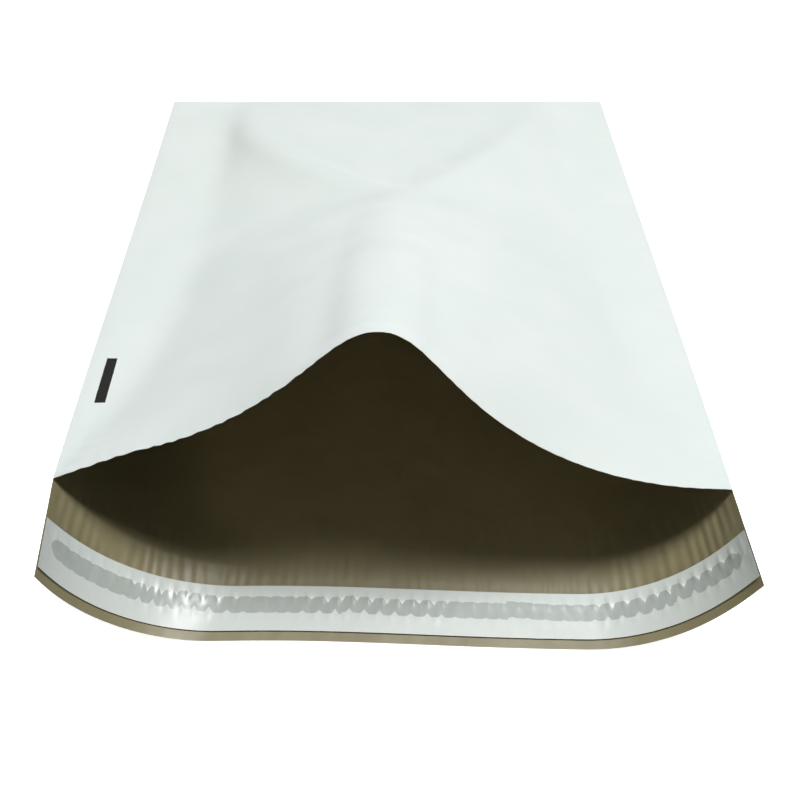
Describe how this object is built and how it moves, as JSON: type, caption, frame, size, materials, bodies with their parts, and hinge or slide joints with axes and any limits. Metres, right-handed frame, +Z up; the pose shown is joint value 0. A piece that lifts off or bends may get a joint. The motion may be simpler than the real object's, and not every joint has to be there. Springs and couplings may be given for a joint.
{
  "type": "poly mailer bag",
  "caption": "Flat plastic film mailing bag with a dark inside, lying on its back with its mouth raised, and a self-seal flap with a peel-off liner.",
  "frame": {"origin": "bottom centre of the bounding box, on the surface the bag lies on", "axes": "+Y from the mouth and its flap to the closed end, +X to the right as the mouth is looked into, +Z up from the back ply to the front ply"},
  "size_m": [0.3682, 0.5322, 0.137],
  "materials": {
    "film": "white co-extruded film with a slight gloss, dark taupe on its inner side",
    "adhesive": "clear pressure-sensitive hot-melt, grey where it wets the liner",
    "liner": "white translucent release film, lightly crinkled"
  },
  "bodies": {
    "root": {"film_bag": "film", "adhesive_strip": "adhesive", "release_liner": "liner"}
  },
  "joints": []
}
